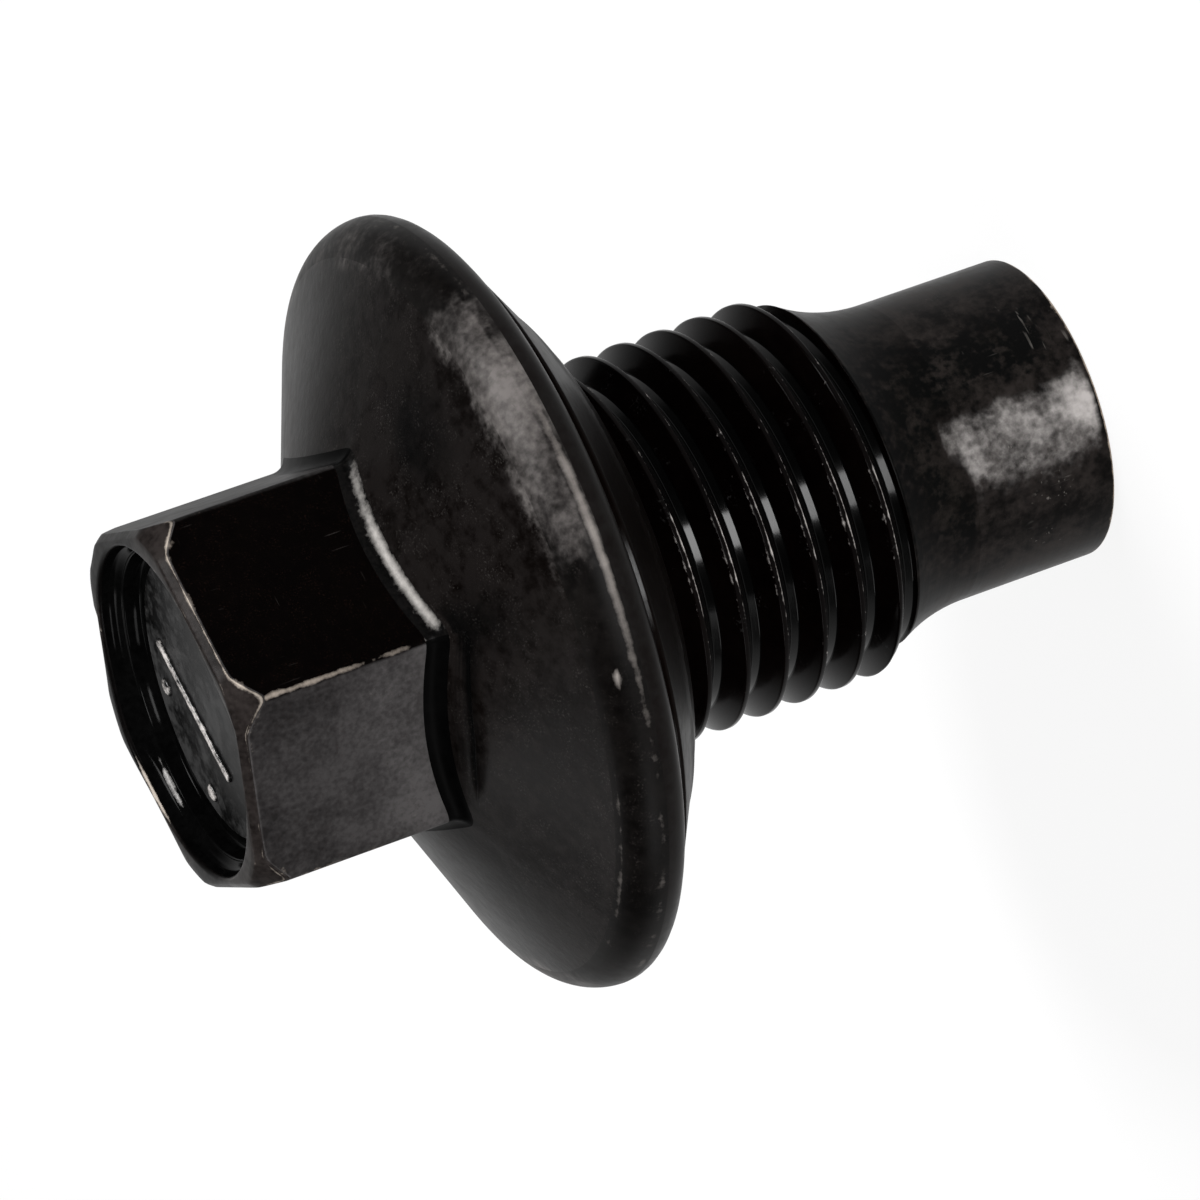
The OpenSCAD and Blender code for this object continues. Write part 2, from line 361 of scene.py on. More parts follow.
def add_cone(s, theta, foot):
    """The cone from the fillet's foot to the rim: a scored groove beside the hexagon's root on two
    sides, with finer lines above it, darkened as painted shade, two dark strips, and the start of
    the rim's rubbed areas with their painted highlight."""
    scored = stretch(theta, 14, 57, 9) + stretch(theta, 194, 237, 9)
    groove = 0.142 + 0.0022 * np.minimum(theta % 60 - 30, 0)
    shares = groove * per_row(.06, .2, .3, .38, .48, .56, .66, .74, .86, .96, 1, 1.04, 1.14, 1.8)
    sunk = per_row(0, .014, -.012, .016, -.014, .012, -.016, .016, 0, .08, .12, .07, 0, 0)
    # Painted shade: the groove and the finer lines are darkened
    shaded_lines = per_row(0, 0, 0, .4, 0, .4, 0, .5, .5, 1, 1, 1, .5, 0) * scored
    strip = per_row(0, 0, 0, .3, .5, .7, .8, .8, .8, .8, .8, .8, .8, .8) * bell(theta, 61, 5)
    r, z = line(*foot, *CONE_LOW, shares)
    s.add((r, z - sunk * scored), "cone", 0.0, -shaded_lines - strip)
    # The rim's rubbed areas and their painted highlight begin on the cone
    rubbed = per_row(0, 0, 0, .1, .7, .9) * band_tone(theta)
    strip = per_row(.5, .2, 0, 0, 0, 0) * bell(theta, 61, 6)
    beside = per_row(.8, .7, .2, 0, 0, 0) * bell(theta, 102, 8)
    s.add(line(*foot, *CONE_LOW, [.42, .6, .8, .9, .96, .99]), "cone", 0.0,
          rubbed - strip - beside)


def add_rim(s, theta):
    """The flange's rounded rim in two arcs, with a crease, a nick and a rubbed line that is also a
    painted highlight round 68°, then the metal seat under it and the bevels of the pocket."""
    band = band_tone(theta)[None, :]
    crease = per_row(1, .1, 0, 0, 0, 0, 0, 0, 0, 0) * (0.14 + 0.22 * bell(theta, 20, 16))
    nick = per_row(0, 0, 0, 0, 0, .7, 1.5, .3, 0, 0) * bell(theta, 48, 0.7)
    s.add(arc(*RIM_C, RIM_R, 90 - CONE_ANGLE - 6, 19, 9), "band", crease + nick, band)
    # The rubbed line runs all round; round 68° it is brightened as a painted highlight
    rubbed_line_and_glint = per_row(.3, .7, 1, 1, .6, .2) * (0.28 + 0.60 * bell(theta, 68, 12))
    s.add(arc(*RIM_C, RIM_R, 16, 2, 5), "band", rubbed_line_and_glint, 0.7 * band)
    s.add(arc(*UNDER_C, UNDER_R, 0, -90, 7), "seat", [.2, .1, 0, 0, 0, 0, .2, .3])
    s.add(arc(POCKET_R + SEAT_ROUND, SEAT_Z + SEAT_ROUND, SEAT_ROUND, -90, -180, 3), "seat", 0.5)
    deep, bevel = POCKET_Z, POCKET_BEVEL
    s.add(line(POCKET_R, deep - bevel, POCKET_R - bevel, deep, [0, 1]), "seat")
    s.add(line(NECK_R + bevel, deep, NECK_R, deep - bevel, [0, 1]), "seat")


def head_section(theta):
    """From the middle of the recess over the end rim, down the flats and their root fillet and the
    flange's cone, round its rim and under it to the neck."""
    s = Section(theta)
    hexr = hexagon_radius(theta)
    add_recess(s, theta)
    top_z = add_end(s, theta, hexr)
    foot = add_flats(s, theta, hexr, top_z)
    add_cone(s, theta, foot)
    add_rim(s, theta)
    return s


def flare_radius(z):
    """Radius of the hollow flare at height z: a circle of FLARE_R that leaves the pilot upright."""
    rise = np.clip(z - PILOT_LEN, 0, FLARE_R - 0.001)
    return PILOT_R + FLARE_R - np.sqrt(FLARE_R ** 2 - rise ** 2)


def shank_limit(z):
    """Largest radius at height z: the flare, then the crests, then a bevel back to the neck."""
    top = np.maximum(NECK_R, THREAD_R - np.maximum(0, z - THREAD_TOP))
    return np.minimum(flare_radius(z), top)


# Shares of a pitch from a crest's middle: root, shoulders, flanks and the crest's two edges;
# then the crest's edge, the same where it is widest on the flare, and where the root begins
THREAD_STEPS = np.array([-.5, -.445, -.425, -.4, -.375, -.30, -.19, -.085, -.0625, -.045,
                         0, .045, .0625, .085, .19, .30, .375, .39, .405, .45])
CREST_HALF = 1 / 16
WIDEST_HALF = 0.34
SHOULDER = 0.375
TURNS = 9
# Height in mm up to which the thread's rows are rubbed and blackened as the pilot is
TONED_TO = 9


def thread_rows(theta):
    """Rows of the thread, top to bottom, as radius, height, edge wear and finish; the edge wear
    holds a painted highlight round 56°. Each row keeps its share of the pitch and climbs one
    pitch round the axis. The crest lies on the flare where that is lower, and the land between
    two grooves is wider there. The root is a narrow slope, deepest close under its upper flank,
    with a quick curve into each flank."""
    start = theta[0]
    root_zero = CREST_AT_ZERO + PITCH * (start / 360 + 4.5)
    climb = PITCH * (theta - start) / 360
    crest = root_zero + PITCH * (np.arange(TURNS)[:, None] + 0.5) + climb[None, :]
    cut_back = (THREAD_R - shank_limit(crest)) * np.tan(np.radians(FLANK_ANGLE)) / PITCH
    half = np.minimum(WIDEST_HALF, CREST_HALF + cut_back)

    u = THREAD_STEPS[None, :, None]
    h = half[:, None, :]
    side = np.sign(u)
    mag = np.abs(u)
    on_land = mag <= CREST_HALF + 1e-9
    on_root = mag >= SHOULDER - 1e-9
    share = (mag - CREST_HALF) / (SHOULDER - CREST_HALF)
    on_flank = h + share * (SHOULDER - h)
    moved = np.where(on_land, mag / CREST_HALF * h, np.where(on_root, mag, on_flank))
    z = crest[:, None, :] + PITCH * side * moved

    land_r = np.minimum(THREAD_R - CREST_SOFT * (mag > 0.05), shank_limit(z))
    edge_z = crest[:, None, :] + PITCH * side * h
    edge_r = np.minimum(THREAD_R - CREST_SOFT, shank_limit(edge_z))
    shoulder_z = crest[:, None, :] + PITCH * side * SHOULDER
    shoulder_r = np.minimum(SHOULDER_R, shank_limit(shoulder_z))
    flank_r = edge_r + (shoulder_r - edge_r) * share
    over = (u % 1 - SHOULDER) / (1 - 2 * SHOULDER)
    deep = np.interp(over, [0, .06, .8, .9, 1], [0, .35, 1, .75, 0])
    bottom = SHOULDER_R - (SHOULDER_R - ROOT_R) * deep
    root_r = np.minimum(bottom, shank_limit(z))
    r = np.where(on_land, land_r, np.where(on_root, root_r, flank_r))
    fill = np.minimum(NECK_R, NECK_R - 1.5 * (THREAD_TOP + 0.3 - z))
    r = np.minimum(np.maximum(r, fill), shank_limit(z))

    # Both edges of the crest are rubbed, the lower one more, where the crest stands clear; round
    # 56° they are brighter still, a painted highlight
    depth = np.clip((shank_limit(z) - SHOULDER_R) / (THREAD_R - SHOULDER_R), 0, 1)
    wear = np.exp(-((mag - CREST_HALF) / 0.026) ** 2) * depth * np.where(side < 0, 1, 0.55)
    wear = wear * (0.46 + 0.54 * bell(theta, 56, 12))
    finish = np.where((THREAD_STEPS < -0.38) | (THREAD_STEPS > 0.37), "thread_root", "thread")
    finish = np.append(np.tile(finish, TURNS), "thread")[::-1]
    finish[-5:] = "flare"  # The lowest rows lie on the flare all the way round
    n = len(theta)
    wear = np.broadcast_to(wear, (TURNS, len(THREAD_STEPS), n))
    z = np.vstack([z.reshape(-1, n), root_zero + PITCH * TURNS + climb[None, :]])[::-1]
    r = np.vstack([r.reshape(-1, n), np.full((1, n), NECK_R)])[::-1]
    wear = np.vstack([wear.reshape(-1, n), np.zeros((1, n))])[::-1]
    return r, z, wear, finish


def shank_section(theta):
    """The shank from the neck to the pilot's end. Above and below the thread's rows, which begin
    and end on a helix, a fan of rows fills the one pitch up or down to a level ring."""
    s = Section(theta)
    r, z, wear, finish = thread_rows(theta)
    k = len(THREAD_STEPS)
    top_ring, low_ring = z[0, -1], z[-1, 0]
    share_top = ((top_ring - z[:k + 1, 0]) / (top_ring - z[k, 0]))[:, None]
    fan_z = top_ring + (z[0] - top_ring)[None, :] * share_top
    s.add((np.full_like(fan_z, NECK_R), fan_z), "thread")
    inner = slice(1, -1)
    tone = np.where(z[inner] < TONED_TO, pilot_tone(theta, z[inner]), 0)
    s.add((r[inner], z[inner]), finish[inner], wear[inner], tone)
    # The fan's first column meets the thread's last, so its rows take their shares from there
    low_rows = z[-(k + 1):, 0]
    share_low = ((low_rows - low_ring) / (low_rows[0] - low_ring))[:, None]
    fan_z = low_ring + (z[-1] - low_ring)[None, :] * share_low
    s.add((flare_radius(fan_z), fan_z), "flare", 0.0, pilot_tone(theta, fan_z))
    flare_z = line(0, low_ring, 0, PILOT_LEN, [.3, .6, .85])[1]
    s.add((flare_radius(flare_z), flare_z), "pilot", 0.0, pilot_tone(theta, flare_z))
    side = line(PILOT_R, PILOT_LEN, PILOT_R, END_ROUND, [0, .15, .3, .5, .7, .85, .95])
    s.add(side, "pilot", 0.0, pilot_tone(theta, side[1]))
    end_r = PILOT_R - END_ROUND
    s.add(arc(end_r, END_ROUND, END_ROUND, 0, -90, 5), "pilot", [.45, .8, .9, .9, .7, .4])
    s.add(line(end_r - 0.05, 0, 0, 0, [0, .1, .4, .7, 1]), "pilot")
    return s


def turned_mesh(name, theta, section, materials, close_loop=False):
    """A mesh from rows of radius and height: every point is (r cos t, r sin t, z), and four
    neighbours make a face with the finish of its lower row. On the plug the fillet takes a
    brightened finish, rubbed steel with a painted highlight, on two of its sides, and every face
    that lies on the flare has the flare's finish."""
    r, z, finish, wear, tone = section.grid()
    if close_loop:
        r, z, wear, tone = (np.vstack([a, a[:1]]) for a in (r, z, wear, tone))
        finish = np.append(finish, finish[:1])
    rows, cols = r.shape
    t = np.radians(theta)[None, :]
    points = np.stack([r * np.cos(t), r * np.sin(t), z], axis=-1).reshape(-1, 3) * MM
    i = np.arange((rows - 1) * cols).reshape(rows - 1, cols)[:, :-1]
    faces = np.stack([i, i + cols, i + cols + 1, i + 1], axis=-1).reshape(-1, 4)
    slots = [m.name for m in materials]
    wanted = ["steel_" + f for f in finish[1:]]
    index = np.array([slots.index(w) if w in slots else 0 for w in wanted])
    index = np.tile(index[:, None], cols - 1)
    if "steel_fillet" in slots:
        # Painted highlight: two opposite sixths of the fillet take the brightened finish
        sixth = np.floor((theta[:-1] + theta[1:]) / 2 % 360 / 60)
        bright = (finish[1:] == "fillet")[:, None] & np.isin(sixth, (1, 4))[None, :]
        index[bright] = slots.index("steel_fillet_rubbed")
        on_flare = np.abs(r - flare_radius(z)) < FLARE_NEAR
        whole = on_flare[1:, 1:] & on_flare[:-1, 1:] & on_flare[1:, :-1] & on_flare[:-1, :-1]
        index[whole & (z[1:, 1:] > PILOT_LEN)] = slots.index("steel_flare")
    return piece_from(name, points, faces, materials, index.ravel(), {"wear": wear, "tone": tone})


def piece_from(name, points, faces, materials, index, values):
    """A smooth-shaded piece: the arrays go into a mesh, with values kept on its points, and points
    closer together than two micrometres are merged."""
    mesh = bpy.data.meshes.new(name)
    mesh.from_pydata(points, [], faces)
    for m in materials:
        mesh.materials.append(m)
    mesh.polygons.foreach_set("material_index", index.astype(np.int32))
    for label, value in values.items():
        kept = mesh.attributes.new(label, "FLOAT", "POINT")
        kept.data.foreach_set("value", value.ravel().astype(np.float32))
    welded = bmesh.new()
    welded.from_mesh(mesh)
    bmesh.ops.remove_doubles(welded, verts=welded.verts, dist=2e-6)
    bmesh.ops.dissolve_degenerate(welded, edges=welded.edges, dist=1e-7)
    welded.to_mesh(mesh)
    welded.free()
    mesh.shade_smooth()
    piece = bpy.data.objects.new(name, mesh)
    bpy.context.scene.collection.objects.link(piece)
    return piece


def mound(name, start, end, width, height, base_z, material):
    """A raised mark with round ends: a ball of the given width and height whose two halves are
    pulled apart from start to end, sunk to its middle in the plane base_z."""
    cols, rings = 24, 10
    start, end = np.array(start, float), np.array(end, float)
    length = np.hypot(*(end - start))
    along = (end - start) / length
    side = np.array([-along[1], along[0]])
    u = (np.arange(cols)[None, :] + 0.5) * np.pi / (cols / 2)
    v = np.radians(np.linspace(-90, 90, rings + 1))[:, None]
    swell = np.abs(np.cos(v)) ** 0.6
    p = 0.5 * width * swell * np.cos(u) + 0.5 * length * np.sign(np.cos(u))
    q = 0.5 * width * swell * np.sin(u)
    z = base_z + height * np.sin(v) + 0 * u
    xy = (start + end) / 2 + p[..., None] * along + q[..., None] * side
    points = np.concatenate([xy, z[..., None]], axis=-1).reshape(-1, 3) * MM
    i = np.arange(rings * cols).reshape(rings, cols)
    j = np.roll(i, -1, axis=1)
    faces = np.stack([i, j, j + cols, i + cols], axis=-1).reshape(-1, 4)
    wear = (0.6 * np.sin(v) + 0 * u).clip(0)
    values = {"wear": wear, "tone": np.zeros_like(wear)}
    return piece_from(name, points, faces, [material], np.zeros(len(faces)), values)


# Shader groups
def new_group(name, inputs, outputs):
    """An empty shader group with float inputs {name: default} and outputs {name: kind}."""
    g = bpy.data.node_groups.new(name, "ShaderNodeTree")
    for label, value in inputs.items():
        socket = g.interface.new_socket(label, in_out="INPUT", socket_type="NodeSocketFloat")
        socket.default_value = value
    for label, kind in outputs.items():
        g.interface.new_socket(label, in_out="OUTPUT", socket_type="NodeSocket" + kind)
    return g, g.nodes.new("NodeGroupInput"), g.nodes.new("NodeGroupOutput")


def put(tree, kind, links=(), **values):
    """Adds a node, sets its properties and unlinked sockets, and links its sockets."""
    n = tree.nodes.new(kind)
    for key, value in values.items():
        if key.startswith("in_"):
            label = key[3:]
            n.inputs[int(label) if label.isdigit() else label].default_value = value
        else:
            setattr(n, key, value)
    for socket, source in links:
        tree.links.new(source, n.inputs[socket])
    return n


def ramp(tree, value, low, high, to_low=0.0, to_high=1.0):
    """Maps value from low..high to to_low..to_high with a smooth step."""
    n = put(tree, "ShaderNodeMapRange", [("Value", value)], interpolation_type="SMOOTHSTEP")
    n.inputs["From Min"].default_value = low
    n.inputs["From Max"].default_value = high
    n.inputs["To Min"].default_value = to_low
    n.inputs["To Max"].default_value = to_high
    return n.outputs["Result"]


def maths(tree, operation, a, b=None):
    """A maths node on one or two numbers or sockets."""
    n = tree.nodes.new("ShaderNodeMath")
    n.operation = operation
    for k, v in enumerate((a, b)):
        if v is None:
            continue
        if isinstance(v, (int, float)):
            n.inputs[k].default_value = v
        else:
            tree.links.new(v, n.inputs[k])
    return n.outputs[0]


def mix_colour(tree, share, a, b):
    """The colour share of the way from a to b, which are colours or sockets."""
    n = put(tree, "ShaderNodeMix", data_type="RGBA")
    for k, v in ((0, share), (6, a), (7, b)):
        if isinstance(v, (int, float)):
            n.inputs[k].default_value = v
        elif isinstance(v, tuple):
            n.inputs[k].default_value = (*v, 1)
        else:
            tree.links.new(v, n.inputs[k])
    return n.outputs[2]


def new_map(tree, value, low, high):
    """Maps value from low..high to 0..1, where low and high may be sockets."""
    n = put(tree, "ShaderNodeMapRange", [("Value", value), ("From Min", low), ("From Max", high)])
    return n.outputs["Result"]


def own_position(tree):
    """The piece's own coordinates, in metres."""
    return put(tree, "ShaderNodeTexCoord").outputs["Object"]


def noise(tree, where, scale, detail, roughness=0.5):
    """Noise at the given coordinates. Its scale is a number or a socket."""
    n = put(tree, "ShaderNodeTexNoise", [("Vector", where)], in_Detail=detail,
            in_Roughness=roughness)
    if isinstance(scale, float):
        n.inputs["Scale"].default_value = scale
    else:
        tree.links.new(scale, n.inputs["Scale"])
    return n.outputs["Fac"]


def build_mottle():
    """Cloudy variation: coarse and fine noise on the piece's own coordinates, added by share."""
    inputs = {"Coarse": 180.0, "Fine": 1400.0, "Fine Share": 0.4}
    g, gi, go = new_group("mottle", inputs, {"Value": "Float"})
    pos = own_position(g)
    share = gi.outputs["Fine Share"]
    coarse = noise(g, pos, gi.outputs["Coarse"], 4.0)
    fine = noise(g, pos, gi.outputs["Fine"], 4.0, 0.65)
    coarse = maths(g, "MULTIPLY", coarse, maths(g, "SUBTRACT", 1.0, share))
    total = maths(g, "ADD", coarse, maths(g, "MULTIPLY", fine, share))
    g.links.new(total, go.inputs["Value"])
    return g


def build_specks():
    """Fine points: a steep step on fine noise, thinned out by a coarser one."""
    inputs = {"Scale": 9000.0, "Patches": 900.0, "Thin": 0.5, "Amount": 0.5}
    g, gi, go = new_group("specks", inputs, {"Mask": "Float"})
    pos = own_position(g)
    fine = noise(g, pos, gi.outputs["Scale"], 2.0)
    thin = noise(g, pos, gi.outputs["Patches"], 3.0)
    top = maths(g, "ADD", gi.outputs["Thin"], 0.18)
    patch = new_map(g, thin, gi.outputs["Thin"], top)
    mask = maths(g, "MULTIPLY", ramp(g, fine, 0.56, 0.70), patch)
    g.links.new(maths(g, "MULTIPLY", mask, gi.outputs["Amount"]), go.inputs["Mask"])
    return g


def build_scratches():
    """Short hairlines in three directions, each in its own patches: noise stretched far along one
    axis and stepped, kept where a coarse noise is above one minus the density."""
    g, gi, go = new_group("scratches", {"Density": 0.5, "Fineness": 1.0}, {"Mask": "Float"})
    pos = own_position(g)
    low = maths(g, "SUBTRACT", 1.0, gi.outputs["Density"])
    high = maths(g, "ADD", low, 0.08)
    total = None
    for turn, scale in (((0.3, 0.9, 0.4), (330, 7000, 7000)),
                        ((1.1, -0.5, 2.0), (420, 8000, 8000)),
                        ((0.2, 0.35, 1.2), (7500, 7500, 380))):
        turned = put(g, "ShaderNodeMapping", [("Vector", pos)], in_Rotation=turn, in_Scale=scale)
        thin = noise(g, turned.outputs[0], gi.outputs["Fineness"], 1.0)
        away = put(g, "ShaderNodeMapping", [("Vector", pos)], in_Location=turn)
        patch = new_map(g, noise(g, away.outputs[0], 500.0, 2.0), low, high)
        lines = maths(g, "MULTIPLY", ramp(g, thin, 0.66, 0.74), patch)
        total = lines if total is None else maths(g, "MAXIMUM", total, lines)
    g.links.new(total, go.inputs["Mask"])
    return g


def build_ring_marks():
    """Turning marks: noise on (distance from the axis, height), so that each line runs right round,
    with a little coarse noise that lets the lines fade and come back."""
    g, gi, go = new_group("ring_marks", {"Fineness": 6000.0, "Fade": 0.5}, {"Value": "Float"})
    pos = own_position(g)
    flat = put(g, "ShaderNodeVectorMath", [(0, pos)], operation="MULTIPLY", in_1=(1, 1, 0))
    away = put(g, "ShaderNodeVectorMath", [(0, flat.outputs["Vector"])], operation="LENGTH")
    split = put(g, "ShaderNodeSeparateXYZ", [(0, pos)])
    where = put(g, "ShaderNodeCombineXYZ", [(0, away.outputs["Value"]), (1, split.outputs["Z"])])
    lines = noise(g, where.outputs[0], gi.outputs["Fineness"], 3.0)
    fade = maths(g, "MULTIPLY", gi.outputs["Fade"], noise(g, pos, 300.0, 2.0))
    strength = maths(g, "SUBTRACT", 1.0, fade)
    centred = maths(g, "SUBTRACT", lines, 0.5)
    total = maths(g, "ADD", maths(g, "MULTIPLY", centred, strength), 0.5)
    g.links.new(total, go.inputs["Value"])
    return g


def build_tones():
    """Rubbed or blackened areas, and in places painted light and painted shade: the piece's tone
    value times the side wanted, its borders made ragged by noise, and its inside clouded down to
    the least share."""
    inputs = {"Coarse": 500.0, "Fine": 3500.0, "Least": 0.5, "Ragged": 0.5, "Side": 1.0}
    g, gi, go = new_group("tones", inputs, {"Mask": "Float"})
    pos = own_position(g)
    value = put(g, "ShaderNodeAttribute", attribute_name="tone").outputs["Fac"]
    value = maths(g, "MULTIPLY", value, gi.outputs["Side"])
    coarse = maths(g, "MULTIPLY", noise(g, pos, gi.outputs["Coarse"], 6.0, 0.6), 0.6)
    fine = maths(g, "MULTIPLY", noise(g, pos, gi.outputs["Fine"], 3.0), 0.4)
    both = maths(g, "ADD", coarse, fine)
    spread = maths(g, "MULTIPLY", maths(g, "SUBTRACT", both, 0.5), gi.outputs["Ragged"])
    moved = maths(g, "ADD", value, maths(g, "MULTIPLY", spread, 5.0))
    kept = maths(g, "MULTIPLY", ramp(g, moved, 0.0, 1.0), ramp(g, value, 0.0, 0.25))
    cloud = put(g, "ShaderNodeMapRange", [("Value", both), ("To Min", gi.outputs["Least"])])
    cloud.inputs["From Min"].default_value = 0.38
    cloud.inputs["From Max"].default_value = 0.6
    g.links.new(maths(g, "MULTIPLY", kept, cloud.outputs["Result"]), go.inputs["Mask"])
    return g


def build_edge_wear():
    """Rubbed edges, and in places painted highlights: the piece's wear value, broken up by noise
    and stepped.
    """
    inputs = {"Grain": 900.0, "Break Up": 0.5, "Low": 0.45, "High": 0.85}
    g, gi, go = new_group("edge_wear", inputs, {"Mask": "Float"})
    pos = own_position(g)
    wear = put(g, "ShaderNodeAttribute", attribute_name="wear").outputs["Fac"]
    grain = maths(g, "SUBTRACT", noise(g, pos, gi.outputs["Grain"], 5.0, 0.65), 0.5)
    spread = maths(g, "MULTIPLY", grain, gi.outputs["Break Up"])
    value = maths(g, "ADD", wear, maths(g, "MULTIPLY", spread, 2.0))
    mask = new_map(g, value, gi.outputs["Low"], gi.outputs["High"])
    worn_at_all = maths(g, "GREATER_THAN", wear, 0.02)
    g.links.new(maths(g, "MULTIPLY", mask, worn_at_all), go.inputs["Mask"])
    return g


MOTTLE, SPECKS, SCRATCHES, TONES = build_mottle(), build_specks(), build_scratches(), build_tones()
RING_MARKS, EDGE_WEAR = build_ring_marks(), build_edge_wear()


def use(tree, group, **values):
    """Places a group with its own values and gives its first output."""
    n = put(tree, "ShaderNodeGroup", node_tree=group)
    for label, value in values.items():
        n.inputs[label.replace("_", " ")].default_value = value
    return n.outputs[0]


BLACKEST = (0.0005, 0.0005, 0.0005)


def steel(name, dark, light, worn, level, rough, bump, mottle=(180, 1400, 0.4), span=(0.35, 0.7),
          wear=(900, 0.5, 0.45, 0.85), tone=None, black=None, speck=None, scratch=None, rings=None):
    """Blackened steel. Two dark tones are mixed by the mottle; then come the rubbed faces and
    painted light, the blackened ones and painted shade, specks, scratches and rubbed edges with
    painted highlights, each over the last. Roughness follows the mottle, and a fine bump follows
    the mottle or the turning marks.

    dark, light, worn: the two dark tones and the colour of rubbed edges and painted highlights
    level, rough, bump: specular level; least and most roughness; the bump's strength and depth
    mottle, span: scales of its coarse and fine noise and the fine share; where light takes over
    wear: grain, break-up, and the wear values at which an edge begins and is fully rubbed
    tone, black: colour of rubbed areas and painted light, scales, least share and raggedness;
    scales and raggedness
    speck, scratch: scale, patches, thinness, amount, colour; density, fineness, amount, colour
    rings: fineness of the turning marks"""
    m = bpy.data.materials.new("steel_" + name)
    m.use_nodes = True
    t = m.node_tree
    bsdf = t.nodes["Principled BSDF"]
    cloud = use(t, MOTTLE, Coarse=mottle[0], Fine=mottle[1], Fine_Share=mottle[2])
    colour = mix_colour(t, ramp(t, cloud, *span), dark, light)
    if tone:
        tint, coarse, fine, least, ragged = tone
        mask = use(t, TONES, Coarse=coarse, Fine=fine, Least=least, Ragged=ragged)
        colour = mix_colour(t, mask, colour, tint)
    if black:
        coarse, fine, ragged = black
        mask = use(t, TONES, Coarse=coarse, Fine=fine, Least=1.0, Ragged=ragged, Side=-1.0)
        colour = mix_colour(t, mask, colour, BLACKEST)
    if speck:
        scale, patches, thin, amount, tint = speck
        mask = use(t, SPECKS, Scale=scale, Patches=patches, Thin=thin, Amount=amount)
        colour = mix_colour(t, mask, colour, tint)
    if scratch:
        density, fineness, amount, tint = scratch
        mask = use(t, SCRATCHES, Density=density, Fineness=fineness)
        colour = mix_colour(t, maths(t, "MULTIPLY", mask, amount), colour, tint)
    mask = use(t, EDGE_WEAR, Grain=wear[0], Break_Up=wear[1], Low=wear[2], High=wear[3])
    t.links.new(mix_colour(t, mask, colour, worn), bsdf.inputs["Base Color"])
    t.links.new(ramp(t, cloud, 0.3, 0.75, *rough), bsdf.inputs["Roughness"])
    bsdf.inputs["Specular IOR Level"].default_value = level
    strength, depth = bump
    relief = use(t, RING_MARKS, Fineness=rings) if rings else cloud
    height = put(t, "ShaderNodeBump", [("Height", relief)], in_Strength=strength,
                 in_Distance=depth * MM)
    t.links.new(height.outputs["Normal"], bsdf.inputs["Normal"])
    return m


def grey(value):
    """A colour with three equal parts."""
    return (value, value, value)


# What the end rim and its bevel share, and what the flare and the pilot share
RIM_LOOK = dict(level=0.03, rough=(0.3, 0.45), bump=(0.2, 0.01), mottle=(500, 3500, 0.55))
# The pilot's tone colour is its painted highlight and rubbed patch; its black is a dark finish with
# painted shade
PILOT_LOOK = dict(tone=((0.30, 0.282, 0.272), 600, 3200, 0.6, 0.3), black=(700, 3600, 1.5),
                  mottle=(850, 3000, 0.5), span=(0.36, 0.68), bump=(0.35, 0.02), rings=3800)

